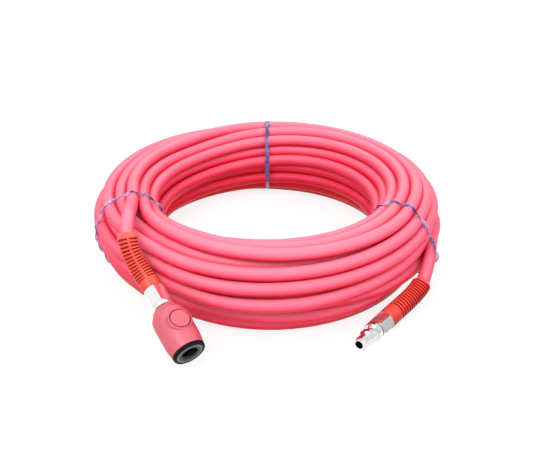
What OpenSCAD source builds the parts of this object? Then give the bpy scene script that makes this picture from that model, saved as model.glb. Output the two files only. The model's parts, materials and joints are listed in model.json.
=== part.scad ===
// Soft air hose, put away as a tied round coil, with a push-button quick socket on
// one end and a quick plug on the other. Millimetres, +Z up, standing on z = 0.
// The origin is on the floor, in the middle of the whole part's length and width.

/* [Hose] */
// Outside diameter of the hose
hose_d = 10; // [9:0.5:11]
// Bore of the hose
hose_bore = 6.5; // [5.5:0.1:7]

/* [Coil] */
// Radius from the coil's centre to the middle of the bundle of turns
coil_r = 116; // [112:1:122]
// Width of the bundle
bundle_w = 60; // [59.5:0.1:62]
// Height of the bundle
bundle_h = 68; // [67:0.5:72]
// How round the bundle is above its middle: 2 is an ellipse
round_top = 1.8; // [1.7:0.05:2.2]
// How round the bundle is below its middle
round_bottom = 2.5; // [2.3:0.05:2.7]
// Share of the hose's diameter that is cut flat where the coil stands
flat_share = 0.1; // [0.08:0.01:0.12]
// How far the socket's nut presses the bundle in
press_left = 7; // [5:0.5:7.5]
// How far the plug's end presses the bundle in
press_right = 4; // [3:0.5:6]
// Clearance between the outer turns and the core of inner turns
core_gap = 0.8; // [0.5:0.1:1.5]

/* [Ties] */
// Width of a tie
tie_w = 4; // [3:0.5:6]
// Thickness of a tie
tie_t = 0.7; // [0.5:0.1:1]
// Clearance between a tie and the hose
tie_gap = 0.3; // [0.2:0.1:0.6]
// Length of a tie's twisted tail
tail_l = 15; // [10:1:18]

/* [Bend guards] */
// Share of a free end's last curve that its guard leaves bare
guard_from = 0.1; // [0.06:0.02:0.14]
// Outside diameter of a guard
guard_d = 14.6; // [14:0.2:16]
// Diameter at the bottom of a guard's slots
slot_d = 12.4; // [12:0.2:13]
// Clearance between the hose and a guard, on the radius
guard_gap = 0.4; // [0.3:0.1:0.6]
// Slots along a guard
slot_count = 14; // [10:1:16]
// Length of the plain collar at a guard's nut end
collar_l = 7; // [6:0.5:9]
// Length of the plain collar at a guard's hose end
lip_l = 4; // [3:0.5:5]

/* [Hose nuts] */
// Distance across a nut's flats
nut_af = 14; // [13.5:0.5:15]
// Length of a nut
nut_l = 14.2; // [12:0.2:15]
// Chamfer on a nut's corners
nut_chamfer = 0.8; // [0.4:0.1:1]
// Clearance of the hose in a nut, on the radius
nut_gap = 0.1; // [0.05:0.05:0.2]
// Length of the thread that holds a nut
thread_l = 5; // [4.5:0.1:5.5]
// Length of the barb inside the hose
barb_l = 9.6; // [8:0.2:9.6]

/* [Socket] */
// Length of the socket from its face to the rear of its shell
shell_l = 38.5; // [38:0.5:42]
// Diameter of the shell at its middle
shell_d = 26; // [25.8:0.1:27]
// How much the shell narrows towards its front, on the radius
front_taper = 1.2; // [1:0.1:1.4]
// Diameter of the shell at its rear
shell_rear_d = 17.6; // [17:0.1:18.5]
// Wall of the shell
shell_wall = 2.4; // [2.2:0.1:2.5]
// Clearance between the valve body and the shell, on the radius
body_gap = 0.2; // [0.1:0.05:0.3]
// Length of the front ring
ring_l = 2.6; // [2:0.1:3]
// Width of the front ring round the face plate
face_rim = 1.9; // [1.7:0.1:2.1]
// Thickness of the face plate
face_t = 1.7; // [1.4:0.1:2]
// Bore at the mouth
mouth_d = 12; // [12:0.05:12.2]
// Guide bore for the plug's nose
guide_d = 9.7; // [9.6:0.05:9.9]
// Depth of the mouth's bore
mouth_depth = 8.5; // [8:0.1:9]
// Length of the nose seal's groove
seal_room = 2.2; // [2:0.1:2.4]
// Depth of the valve's seat
seat_depth = 17; // [16.5:0.1:17.5]
// Diameter of the valve chamber and of the rear thread
chamber_d = 11.4; // [11:0.1:12]
// Thickness of the latch plate
latch_t = 1.8; // [1.4:0.1:2]
// Travel of the button
button_travel = 1.5; // [1.3:0.1:1.7]
// Diameter of the button
button_d = 14; // [13:0.5:15]
// Clearance round the button, on the radius
button_gap = 0.6; // [0.4:0.05:0.7]
// Depth from the face to the button's centre
button_depth = 21; // [20:0.5:23]
// How far the button stands out of the shell
button_proud = 1.8; // [1.6:0.1:2.2]
// How far the button stands out of the boss round it
button_rise = 1.4; // [1.2:0.1:1.6]
// Diameter of the rear flange
flange_d = 16.2; // [16:0.1:17]
// Thickness of the rear flange
flange_t = 3; // [2.4:0.1:3.2]

/* [Plug] */
// Diameter of the plug's nose
nose_d = 9.4; // [9.2:0.05:9.5]
// Length of the plug's nose
nose_l = 8; // [7:0.1:9]
// Diameter of the bulge behind the nose
bulge_d = 11.8; // [11.6:0.05:11.9]
// Diameter of the lock groove
groove_d = 9.2; // [9:0.1:9.4]
// Diameter of the collar
plug_collar_d = 14.4; // [14:0.1:15]
// Distance from the nose's tip to the collar
plug_reach = 17; // [17:0.1:17.4]
// Thickness of the collar
plug_collar_t = 4; // [3.6:0.1:4.6]
// Gap between the collar and the nut
plug_gap = 0.8; // [0.6:0.1:1.4]
// Bore of the plug
plug_bore = 6; // [5:0.1:6.4]

/* [Hidden] */

$fn = 72;
eps = 0.01;
hose_r = hose_d / 2;

// The twisted tail's width and thickness, and how far it stands out of its tie
tail_w = 2.6;
tail_t = 1.6;
tail_reach = tail_w - 0.3;
thread_d = 11;
barb_d = hose_bore;
barb_inset = 2;

shell_front_d = shell_d - 2 * front_taper;
shell_bore_d = shell_d - 2 * shell_wall;
face_d = shell_front_d - 2 * face_rim;
button_top = shell_d / 2 + button_proud;
plug_l = plug_reach + plug_collar_t + plug_gap;

// The ends press the outer side of the bundle in at these azimuths. Both ends are placed
// from the points on the bundle's outer edge there.
press_left_at = -131;
press_right_at = -33;
edge_r = coil_r + bundle_w / 2;
left_edge = edge_r * [cos(press_left_at), sin(press_left_at), 0];
right_edge = edge_r * [cos(press_right_at), sin(press_right_at), 0];

// Where the two ends lie. The socket's face, and the way that its mouth points.
face_at = left_edge + [44.2, -58.3, 12];
socket_turn = -57;
socket_tilt = 22.5;
socket_roll = -5;
// The tip of the plug's nose, and the way that it points.
tip_at = right_edge + [-59, -72.9, plug_collar_d / 2 + 0.1];
plug_turn = -127.5;
// Where the hose enters each guard, and the way that it runs there. The pulls say how
// far each stretch keeps its direction: from the coil, to the guard, from the guard's
// tip and to its nut.
socket_tip = left_edge + [-4.8, 15.2, 70];
socket_tip_way = [-0.02, -0.74, -0.68];
socket_pulls = [12, 36, 21.4, 19.4];
plug_tip = right_edge + [-4, -9.2, 21.8];
plug_tip_way = [-0.35, -0.87, -0.34];
plug_pulls = [23.1, 30, 14, 29.3];

// The azimuths of the ties
tie_left_at = -163;
tie_back_at = 90;
tie_right_at = -30;

// ---------------------------------------------------------------- small helpers
function unit(v) = v / norm(v);
function smooth(t) = let (c = max(0, min(1, t))) c * c * (3 - 2 * c);
function mix(a, b, t) = a + (b - a) * t;
function wrap(angle) = let (w = (angle % 360 + 360) % 360) w > 180 ? w - 360 : w;
// A smooth hump, 1 within flat degrees of its middle and 0 beyond reach degrees
function hump(angle, middle, flat, reach) =
    1 - smooth((abs(wrap(angle - middle)) - flat) / (reach - flat));
function bezier(a, b, c, d, t) =
    a * pow(1 - t, 3) + b * 3 * t * pow(1 - t, 2) + c * 3 * t * t * (1 - t) + d * pow(t, 3);
function bezier_way(a, b, c, d, t) =
    unit((b - a) * pow(1 - t, 2) + (c - b) * 2 * t * (1 - t) + (d - c) * t * t);

// The coil's centre lies this far behind the origin, halfway between the back of the
// bundle and the front edge of the socket's face
face_edge_r = shell_front_d / 2 - 0.4;
face_edge_depth = 0.5;
tie_reach = hose_r + tie_gap + tie_t;
back_reach = coil_r + (bundle_w - hose_d) / 2 + tie_reach + tail_reach;
face_y = -sin(socket_turn) * cos(socket_tilt);
front_reach = -face_at[1] - face_y * face_edge_depth + face_edge_r * sqrt(1 - face_y * face_y);
coil_y = (front_reach - back_reach) / 2;
module placed() {
    translate([0, coil_y, 0]) children();
}

// ---------------------------------------------------------------- swept tubes
// One ring of a tube, square to way. A radius may be one number or one per side.
function ring(at, way, r, sides) =
    let (side = unit(cross([0, 0, 1], way)), up = cross(way, side))
    [for (i = [0:sides - 1])
        let (a = 360 * i / sides, ri = is_list(r) ? r[i] : r)
        at + side * ri * cos(a) + up * ri * sin(a)];
function clip_floor(p) = [p[0], p[1], max(0, p[2])];
function wall_faces(rings, sides, first) =
    [for (j = [0:rings - 2], i = [0:sides - 1])
        let (a = first + j * sides + i,
             b = first + j * sides + (i + 1) % sides)
        each [[a, a + sides, b], [b, a + sides, b + sides]]];
function flip(faces) = [for (f = faces) [f[0], f[2], f[1]]];

// A solid tube through a list of rings
module solid_tube(rings) {
    sides = len(rings[0]);
    last = (len(rings) - 1) * sides;
    polyhedron(
        points = [for (r = rings) each r],
        faces = concat(
            wall_faces(len(rings), sides, 0),
            [for (i = [1:sides - 2]) [0, i, i + 1]],
            [for (i = [1:sides - 2]) [last, last + i + 1, last + i]]),
        convexity = 10);
}

// A tube with a bore: outer rings, then inner rings, each list from end to end
module bored_tube(outer, inner) {
    sides = len(outer[0]);
    inner_first = len(outer) * sides;
    outer_last = inner_first - sides;
    inner_last = inner_first + (len(inner) - 1) * sides;
    polyhedron(
        points = [for (r = concat(outer, inner)) each r],
        faces = concat(
            wall_faces(len(outer), sides, 0),
            flip(wall_faces(len(inner), sides, inner_first)),
            [for (i = [0:sides - 1])
                let (k = (i + 1) % sides)
                each [[i, k, inner_first + i], [k, inner_first + k, inner_first + i]]],
            [for (i = [0:sides - 1])
                let (k = (i + 1) % sides)
                each [[outer_last + i, inner_last + i, outer_last + k],
                      [outer_last + k, inner_last + i, inner_last + k]]]),
        convexity = 10);
}

// ---------------------------------------------------------------- the bundle's section
strands = 15;
flat_cut = flat_share * hose_d;
half_w = (bundle_w - hose_d) / 2;
half_h = (bundle_h - hose_d + flat_cut) / 2;
mid_z = hose_r - flat_cut + half_h;

// The bundle's outer side gives way where the ends press it in
press_flat = 7;
press_fade = 32;
function press(az) =
    press_left * hump(az, press_left_at, press_flat, press_fade) +
    press_right * hump(az, press_right_at, press_flat, press_fade);

// The outline on which the outer turns' centres lie, as [out, up] from the middle.
// In is the half width on the inner side, out on the outer side.
function outline_at(angle, in, out, h) =
    let (n = sin(angle) >= 0 ? round_top : round_bottom,
         r = pow(pow(abs(cos(angle)), n) + pow(abs(sin(angle)), n), -1 / n))
    [(cos(angle) > 0 ? out : in) * r * cos(angle), h * r * sin(angle)];

// The outlines all round the coil, one at each step, and tables of the length along them
step_az = 15;
start_az = -15;
end_turn_az = 195;
turn_steps = 360 / step_az;
outline_steps = 180;
outlines = [for (j = [0:turn_steps - 1])
    [for (i = [0:outline_steps])
        outline_at(360 * i / outline_steps, half_w, half_w - press(start_az + j * step_az), half_h)]];
function lengths(points) =
    [for (i = 0, s = 0; i < len(points);
        i = i + 1, s = i < len(points) ? s + norm(points[i] - points[i - 1]) : s) s];
runs = [for (points = outlines) lengths(points)];
tables = [for (run = runs) [for (i = [0:outline_steps]) [run[i], i]]];

// A place in the outer layer, at step j round the coil. Places are an even way apart
// along the outline. Place 0 is on the outer side, half a place under the middle.
first_place = -0.49;
top_place = 4;
last_place = strands - 1;
function place(k, j) =
    let (share = (k + first_place) / strands,
         i = lookup((share - floor(share)) * runs[j][outline_steps], tables[j]),
         a = min(floor(i), outline_steps - 1))
    mix(outlines[j][a], outlines[j][a + 1], i - a);

// The ties lift the lower turns by their own thickness
coil_sides = 6;
tie_lift = tie_t + tie_gap + hose_r * cos(180 / coil_sides) - (hose_r - flat_cut);
lift_flat = 9;
lift_fade = 25;
function lift(up) = tie_lift * smooth(-up / (mid_z - hose_r));
function tied(az) =
    max([for (tie_az = [tie_left_at, tie_back_at, tie_right_at])
        hump(az, tie_az, lift_flat, lift_fade)]);

// ---------------------------------------------------------------- the outer turns
// The hose leaves the plug's stretch on the outer side at the first place and rises a
// place each turn. Before the top it crosses through the bundle to the lowest outer
// place, and then winds round below and inside until it is on top, at the socket's end.
// All shifts are in the front, where the bundle has one turn less.
coil_steps = (strands - 1) * turn_steps + (end_turn_az - start_az) / step_az;
rise_from = 258;
rise_to = 321;
sink_from = 201;
sink_to = 259;
cross_from = 212;
cross_to = 312;
cross_in = [-6, 12];
cross_out = [2, -10];
function coil_place(turn, j, az) =
    turn < top_place - 1 ? place(turn + smooth((az - rise_from) / (rise_to - rise_from)), j) :
    turn == top_place - 1 ? bezier(place(turn, j), cross_in, cross_out, place(last_place, j),
        smooth((az - cross_from) / (cross_to - cross_from))) :
    place(last_place + top_place - turn - smooth((az - sink_from) / (sink_to - sink_from)), j);
function coil_centre(k) =
    let (j = k % turn_steps, az = start_az + j * step_az,
         p = coil_place(floor(k / turn_steps), j, az), r = coil_r + p[0])
    [r * cos(az), r * sin(az), mid_z + p[1] + lift(p[1]) * tied(az)];
function coil_way(az) = [-sin(az), cos(az), 0];
function coil_ring(at, az) = [for (p = ring(at, coil_way(az), hose_r, coil_sides)) clip_floor(p)];
coil_centres = [for (k = [0:coil_steps]) coil_centre(k)];
coil_start = coil_centres[0] - coil_way(start_az) * hose_d;
coil_end = coil_centres[coil_steps] + coil_way(end_turn_az) * hose_d;

// The least gap of the outer turns to themselves, on points all along them
gap_shares = [0, 1 / 3, 2 / 3];
gap_points = [for (k = [0:coil_steps - 1], t = gap_shares) mix(coil_centres[k], coil_centres[k + 1], t)];
turn_points = turn_steps * len(gap_shares);
near_points = 4;
coil_gap = min([for (k = [0:len(gap_points) - 1],
        turn = [turn_points:turn_points:len(gap_points) - 1], i = [-near_points:near_points])
    if (k + turn + i < len(gap_points)) norm(gap_points[k] - gap_points[k + turn + i])]) - hose_d;
echo(str("least gap of the outer turns, mm: ", coil_gap));

module hose_coil() {
    color("hotpink") placed()
    solid_tube(concat(
        [coil_ring(coil_start, start_az)],
        [for (k = [0:coil_steps]) coil_ring(coil_centres[k], start_az + k * step_az)],
        [coil_ring(coil_end, end_turn_az)]));
}

// The inner turns: a plain core, left out where the outer turns' hose crosses
core_from = -40;
core_sweep = 262;
core_inset = hose_r + core_gap + flat_cut;
core_steps = 48;
module hose_core() {
    color("deeppink") placed()
    rotate([0, 0, core_from])
    rotate_extrude(angle = core_sweep)
    translate([coil_r - press_left / 2, mid_z])
    polygon([for (i = [0:core_steps - 1])
        outline_at(360 * i / core_steps, half_w - core_inset - press_left / 2,
            half_w - core_inset - press_left / 2, half_h - core_inset)]);
}

// ---------------------------------------------------------------- the free stretches
// The ways that the socket and the plug point, and where their parts meet the guards
function way_of(turn, tilt) = [cos(turn) * cos(tilt), sin(turn) * cos(tilt), -sin(tilt)];
socket_way = way_of(socket_turn, socket_tilt);
plug_way = way_of(plug_turn, 0);
flange_depth = shell_l + 1;
socket_nut_gap = 0.6;
socket_nut_depth = flange_depth + flange_t + socket_nut_gap;
socket_guard_at = face_at - socket_way * (socket_nut_depth + nut_l);
plug_guard_at = tip_at - plug_way * (plug_l + nut_l);

// A curve from one place and way to another, and its way, at share t
function curve(from, way, to, to_way, pull, to_pull, t) =
    bezier(from, from + unit(way) * pull, to - unit(to_way) * to_pull, to, t);
function curve_way(from, way, to, to_way, pull, to_pull, t) =
    bezier_way(from, from + unit(way) * pull, to - unit(to_way) * to_pull, to, t);

hose_in_nut = nut_l - thread_l;
stretch_sides = 8;
free_steps = 6;
guard_steps = 10;
// A stretch runs from the coil to the guard, through it and into the nut
function stretch(start, start_way, tip, tip_way, at, way, pulls) =
    concat(
        [for (i = [0:free_steps - 1])
            let (t = i / free_steps)
            ring(curve(start, start_way, tip, tip_way, pulls[0], pulls[1], t),
                curve_way(start, start_way, tip, tip_way, pulls[0], pulls[1], t),
                hose_r, stretch_sides)],
        [for (i = [0:guard_steps - 1])
            let (t = i / guard_steps)
            ring(curve(tip, tip_way, at, way, pulls[2], pulls[3], t),
                curve_way(tip, tip_way, at, way, pulls[2], pulls[3], t),
                hose_r, stretch_sides)],
        [ring(at, way, hose_r, stretch_sides),
         ring(at + way * hose_in_nut, way, hose_r, stretch_sides)]);

// The barb's room in the end of a stretch
module barb_room(guard_at, turn, tilt) {
    translate(guard_at) rotate([0, 90 + tilt, turn])
    translate([0, 0, -barb_inset]) cylinder(d = barb_d, h = nut_l + barb_inset);
}

module hose_end_socket() {
    color("hotpink") placed() difference() {
        solid_tube(stretch(coil_end, coil_way(end_turn_az), socket_tip, socket_tip_way,
            socket_guard_at, socket_way, socket_pulls));
        barb_room(socket_guard_at, socket_turn, socket_tilt);
    }
}

module hose_end_plug() {
    color("hotpink") placed() difference() {
        solid_tube(stretch(coil_start, -coil_way(start_az), plug_tip, plug_tip_way,
            plug_guard_at, plug_way, plug_pulls));
        barb_room(plug_guard_at, plug_turn, 0);
    }
}

// ---------------------------------------------------------------- the ties
// A tie lies round the bundle, over the outer turns and under the lowest
tie_steps = 60;
// The plug's stretch leaves the coil under the right tie. This is where its middle
// crosses the plane at an azimuth, as [out from the coil's centre, up].
plug_points = [for (i = [0:20]) curve(coil_start, -coil_way(start_az), plug_tip, plug_tip_way,
    plug_pulls[0], plug_pulls[1], i / 20)];
plug_reaches = [for (p = plug_points) [-atan2(p[1], p[0]), norm([p[0], p[1]])]];
plug_heights = [for (p = plug_points) [-atan2(p[1], p[0]), p[2]]];
function plug_section(az) = [lookup(-az, plug_reaches), lookup(-az, plug_heights)];
under_right_tie = [for (side = [-1, 0, 1])
    plug_section(tie_right_at + side * asin(tie_w / 2 / edge_r))];
function tie_line(az, off) = [for (i = [0:tie_steps - 1])
    let (p = outline_at(360 * i / tie_steps, half_w + off, half_w + off - press(az), half_h + off),
         low = smooth(-p[1] / (mid_z - hose_r)))
    [coil_r + p[0], mid_z + p[1] + low * (tie_t + tie_gap + flat_cut)]];
// Its two ends are twisted together into a tail that lies along the bundle
tail_sides = 8;
tail_steps = 12;
tail_turn = 45;
tail_back = 1.2;
tail_up = 1.1;
module tie_tail(out) {
    solid_tube([for (i = [0:tail_steps])
        ring([out, tail_l * i / tail_steps - tail_back, mid_z + tail_up], [0, 1, 0],
            [for (k = [0:tail_sides - 1])
                mix(tail_t, tail_w, abs(cos(360 * k / tail_sides - tail_turn * i))) / 2],
            tail_sides)]);
}
// A tie's outline, stretched over the bundle and over any strand that leaves it there
module tie_face(az, off, strands_over) {
    hull() {
        polygon(tie_line(az, off));
        for (p = strands_over) translate(p) circle(r = off, $fn = 32);
    }
}
// The side that the tail is on: 1 is the outer side, -1 the side of the coil's hole
module tie(az, side, strands_over = []) {
    reach = half_w + tie_reach + tail_reach - tail_w / 2;
    color("slateblue") placed()
    rotate([0, 0, az]) {
        rotate([90, 0, 0])
        translate([0, 0, -tie_w / 2])
        linear_extrude(tie_w)
        difference() {
            tie_face(az, hose_r + tie_gap + tie_t, strands_over);
            tie_face(az, hose_r + tie_gap, strands_over);
        }
        tie_tail(coil_r + side * reach);
    }
}
module tie_left() { tie(tie_left_at, -1); }
module tie_back() { tie(tie_back_at, 1); }
module tie_right() { tie(tie_right_at, -1, under_right_tie); }

// ---------------------------------------------------------------- the bend guards
guard_sides = 12;
guard_bore_r = hose_r + guard_gap;
// Each slot is two narrow rings at full size and two at the slot's bottom. The sides
// that face up and down keep their full size, as the two spines.
function spine_radii(r) = [for (i = [0:guard_sides - 1])
    i == guard_sides / 4 || i == guard_sides * 3 / 4 ? guard_d / 2 : r];
module guard(tip, tip_way, at, way, pulls) {
    span = norm(at - tip) * (1 - guard_from);
    slots_from = lip_l / span;
    slots_to = 1 - collar_l / span;
    pitch = (slots_to - slots_from) / slot_count;
    cut = 0.45;
    edge = 0.06;
    stations = concat(
        [[0, guard_d / 2 - 0.5], [0.02, guard_d / 2]],
        [for (i = [0:slot_count - 1])
            let (s = slots_from + i * pitch)
            each [[s, guard_d / 2], [s + edge * pitch, slot_d / 2],
                  [s + cut * pitch, slot_d / 2], [s + (cut + edge) * pitch, guard_d / 2]]],
        [[slots_to, guard_d / 2], [0.985, guard_d / 2], [1, guard_d / 2 - 0.6]]);
    color("orangered") placed()
    bored_tube(
        [for (s = stations)
            let (t = mix(guard_from, 1, s[0]))
            ring(curve(tip, tip_way, at, way, pulls[2], pulls[3], t),
                curve_way(tip, tip_way, at, way, pulls[2], pulls[3], t),
                spine_radii(s[1]), guard_sides)],
        [for (i = [0:guard_steps])
            let (t = mix(guard_from, 1, i / guard_steps))
            ring(curve(tip, tip_way, at, way, pulls[2], pulls[3], t),
                curve_way(tip, tip_way, at, way, pulls[2], pulls[3], t),
                guard_bore_r, guard_sides)]);
}
module socket_guard() {
    guard(socket_tip, socket_tip_way, socket_guard_at, socket_way, socket_pulls);
}
module plug_guard() {
    guard(plug_tip, plug_tip_way, plug_guard_at, plug_way, plug_pulls);
}

// ---------------------------------------------------------------- the hose nuts
// Along +Z: the end towards the fitting is at 0 and the hose enters at -nut_l
shank_end = thread_l - 0.4;
module nut() {
    difference() {
        intersection() {
            translate([0, 0, -nut_l]) cylinder(d = nut_af / cos(30), h = nut_l, $fn = 6);
            rotate_extrude() polygon([
                [0, 0], [nut_af / cos(30) / 2 - nut_chamfer, 0],
                [nut_af / cos(30) / 2 + eps, -nut_chamfer],
                [nut_af / cos(30) / 2 + eps, -nut_l + nut_chamfer],
                [nut_af / cos(30) / 2 - nut_chamfer, -nut_l], [0, -nut_l]]);
        }
        translate([0, 0, -thread_l]) cylinder(d = thread_d, h = thread_l + eps);
        translate([0, 0, -nut_l - eps]) cylinder(r = hose_r + nut_gap, h = nut_l);
    }
}

// The hose's tail on a fitting: a threaded shank for the nut and a barb in the hose
module tail(shank_l) {
    cylinder_up(thread_d - 0.2, -shank_l, eps);
    cylinder_up(barb_d, -shank_l - barb_l, -shank_l + eps);
}
module cylinder_up(d, from, to) {
    translate([0, 0, from]) cylinder(d = d, h = to - from);
}

// ---------------------------------------------------------------- the quick socket
// Its frame: the face is at 0, the mouth points along +Z, and the button is at +X
module at_socket() {
    placed()
    translate(face_at)
    rotate([0, 90 + socket_tilt, socket_turn])
    rotate([0, 0, 180 + socket_roll])
    children();
}
function down(profile) = [for (p = profile) [p[0], -p[1]]];

body_d = shell_bore_d - 2 * body_gap;
latch_front = face_t + 0.2;
latch_back = latch_front + latch_t;
body_front = latch_back + 0.2;
neck_d = 14;
neck_gap = 0.1;
rear_wall = 4.4;
sleeve_l = 1.4;
sleeve_t = 0.5;
// The rail slides under the shell's bore, over a flat on the valve body
rail_w = 5;
rail_t = 0.8;
rail_gap = 0.15;
rail_x = sqrt(pow(shell_bore_d / 2 - rail_gap, 2) - pow(rail_w / 2, 2)) - rail_t;
flat_x = rail_x - button_travel - rail_gap;

module shell_outside() {
    mid_from = 14;
    mid_to = 29;
    rotate_extrude() polygon(down([
        [0, ring_l], [shell_front_d / 2, ring_l], [shell_d / 2 - 0.2, mid_from - 5],
        [shell_d / 2, mid_from], [shell_d / 2, mid_to], [shell_d / 2 - 0.6, mid_to + 4],
        [shell_d / 2 - 2.2, shell_l - 3.2], [shell_rear_d / 2 + 0.7, shell_l - 0.7],
        [shell_rear_d / 2, shell_l], [0, shell_l]]));
}
module button_axis() {
    translate([0, 0, -button_depth]) rotate([0, 90, 0]) children();
}
boss_w = 1.1;
boss_top = button_top - button_rise;
module socket_shell() {
    color("lightcoral") at_socket() difference() {
        union() {
            shell_outside();
            button_axis() rotate_extrude() polygon([
                [0, shell_bore_d / 2 - 2], [button_d / 2 + button_gap + boss_w + 0.6, shell_bore_d / 2 - 2],
                [button_d / 2 + button_gap + boss_w, boss_top - 0.6],
                [button_d / 2 + button_gap + boss_w - 0.6, boss_top], [0, boss_top]]);
        }
        translate([0, 0, -shell_l + rear_wall]) cylinder(d = shell_bore_d, h = shell_l);
        translate([0, 0, -shell_l - eps]) cylinder(d = neck_d + 2 * neck_gap, h = shell_l);
        button_axis() cylinder(r = button_d / 2 + button_gap, h = button_top);
    }
}

module front_ring() {
    notch_from = rail_x - 0.5;
    notch_w = rail_w + 1;
    color("black") at_socket() difference() {
        rotate_extrude() polygon(down([
            [face_d / 2, 0], [shell_front_d / 2 - 1.3, 0], [face_edge_r, face_edge_depth],
            [shell_front_d / 2, 1.4], [shell_front_d / 2, ring_l], [shell_bore_d / 2, ring_l],
            [shell_bore_d / 2, ring_l + sleeve_l], [shell_bore_d / 2 - sleeve_t, ring_l + sleeve_l],
            [shell_bore_d / 2 - sleeve_t, face_t], [face_d / 2, face_t]]));
        translate([notch_from, -notch_w / 2, -ring_l - sleeve_l - eps])
        cube([shell_bore_d / 2 - notch_from, notch_w, ring_l + sleeve_l + eps - face_t]);
    }
}

module face_plate() {
    chamfer = 0.5;
    color("gray") at_socket()
    rotate_extrude() polygon(down([
        [mouth_d / 2 + chamfer, 0.3], [face_d / 2 - 0.4, 0.3], [face_d / 2, 0.6],
        [face_d / 2, face_t], [mouth_d / 2, face_t], [mouth_d / 2, 0.3 + chamfer]]));
}

seal_groove_d = 12;
seat_wall = 1.5;
seal_back = seat_depth - seat_wall;
guide_end = seal_back - seal_room;
body_back = shell_l + 0.8;
step_depth = ring_l + sleeve_l + 0.1;
module valve_body() {
    color("silver") at_socket() difference() {
        rotate_extrude() polygon(down([
            [mouth_d / 2, body_front], [body_d / 2 - 0.6, body_front],
            [body_d / 2 - 0.6, step_depth], [body_d / 2, step_depth],
            [body_d / 2, shell_l - rear_wall - 0.1], [neck_d / 2, shell_l - rear_wall - 0.1],
            [neck_d / 2, body_back],
            [chamber_d / 2, body_back], [chamber_d / 2, seat_depth], [guide_d / 2, seat_depth],
            [guide_d / 2, seal_back], [seal_groove_d / 2, seal_back],
            [seal_groove_d / 2, guide_end], [guide_d / 2, guide_end],
            [guide_d / 2, mouth_depth + 0.5], [mouth_d / 2, mouth_depth - 0.5]]));
        translate([flat_x, -body_d / 2, -button_depth - button_d / 2 - 1])
        cube([body_d, body_d, button_depth + button_d / 2 + 1]);
    }
}

seal_w = seal_room - 0.2;
seal_inset = 0.05;
seal_t = (seal_groove_d - guide_d) / 2 - seal_inset;
module nose_seal() {
    color("black") at_socket()
    translate([0, 0, -(guide_end + seal_back) / 2])
    rotate_extrude()
    translate([guide_d / 2 + seal_inset + seal_t / 2, 0])
    seal_section(seal_t, seal_w);
}
// A seal's section: w wide and h high, with round ends
module seal_section(w, h) {
    r = w / 2;
    translate([0, h / 2 - r]) circle(r = r, $fn = 24);
    translate([0, -h / 2 + r]) circle(r = r, $fn = 24);
    translate([-r, -h / 2 + r]) square([w, h - w]);
}

// The latch: a plate across the bore, pushed up so that its lower edge stands in the
// plug's lock groove, and a rail that carries it back to the button
latch_grip = 4.95;
latch_hole_r = mouth_d / 2 + 0.3;
latch_up = latch_hole_r - latch_grip;
latch_gap = 0.4;
latch_r = shell_bore_d / 2 - sleeve_t - latch_gap;
rail_back = button_depth - button_d / 2 + 2.5;
module latch_plate() {
    color("lightgray") at_socket() {
        difference() {
            intersection() {
                translate([0, 0, -latch_back]) cylinder(r = latch_r, h = latch_t);
                translate([button_travel, 0, -latch_back - eps])
                cylinder(r = latch_r, h = latch_t + 2 * eps);
            }
            translate([latch_up, 0, -latch_back - eps]) cylinder(r = latch_hole_r, h = latch_t + 2 * eps);
        }
        translate([rail_x, -rail_w / 2, -rail_back])
        cube([rail_t, rail_w, rail_back - latch_front]);
    }
}

button_hollow_r = 4.6;
button_roof = 1.8;
module push_button() {
    color("lightcoral") at_socket() difference() {
        button_axis() rotate_extrude() polygon([
            [button_hollow_r, rail_x], [button_d / 2, rail_x], [button_d / 2, button_top - 1.6],
            [button_d / 2 - 0.35, button_top - 0.75], [button_d / 2 - 1.2, button_top - 0.2],
            [button_d / 2 - 2.6, button_top], [0, button_top], [0, button_top - button_roof],
            [button_hollow_r, button_top - button_roof]]);
        translate([rail_x - eps, -rail_w / 2 - 0.05, -rail_back - 0.05])
        cube([rail_t + 0.06, rail_w + 0.1, rail_back]);
    }
}

// ---------------------------------------------------------------- springs
// A coil spring standing along +Z from 0 to h, of mean radius r and wire w
spring_sides = 6;
spring_steps = 10;
module spring(r, w, h, curls) {
    n = curls * spring_steps;
    rise = h - w;
    pts = [for (i = [0:n])
        let (a = 360 * i / spring_steps)
        [r * cos(a), r * sin(a), w / 2 + rise * i / n]];
    solid_tube([for (i = [0:n])
        let (a = 360 * i / spring_steps)
        spring_ring(pts[i], [-sin(a), cos(a), 0], w / 2)]);
}
function spring_ring(at, way, r) =
    let (side = cross([0, 0, 1], way))
    [for (i = [0:spring_sides - 1])
        let (a = 360 * i / spring_sides)
        at + side * r * cos(a) + [0, 0, 1] * r * sin(a)];

spring_gap = 0.05;
module button_spring() {
    color("silver") at_socket() button_axis()
    translate([0, 0, flat_x + spring_gap])
    spring(3.4, 0.6, button_top - button_roof - flat_x - 2 * spring_gap, 4);
}

// The valve: a poppet with a hollow nose that the plug pushes in
poppet_front = seat_depth - 3.3;
poppet_nose_d = guide_d - 1.1;
nose_hollow_r = 2.6;
washer_t = 1;
head_d = chamber_d - 0.9;
head_t = 2;
head_front = seat_depth + washer_t;
head_back = head_front + head_t;
stem_d = 5;
stem_back = head_back + 5;
port_d = 2.2;
module valve_poppet() {
    color("goldenrod") at_socket() difference() {
        rotate_extrude() polygon(down([
            [nose_hollow_r, poppet_front], [poppet_nose_d / 2 - 0.3, poppet_front],
            [poppet_nose_d / 2, poppet_front + 0.3], [poppet_nose_d / 2, head_front],
            [head_d / 2, head_front], [head_d / 2, head_back], [stem_d / 2, head_back],
            [stem_d / 2, stem_back], [0, stem_back], [0, head_front - 0.4],
            [nose_hollow_r, head_front - 0.4]]));
        for (i = [0:1]) rotate([0, 0, 45 + 90 * i])
        translate([0, 0, -(seat_depth - port_d / 2 - 0.3)]) rotate([90, 0, 0])
        cylinder(d = port_d, h = poppet_nose_d + 1, center = true);
    }
}
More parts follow.
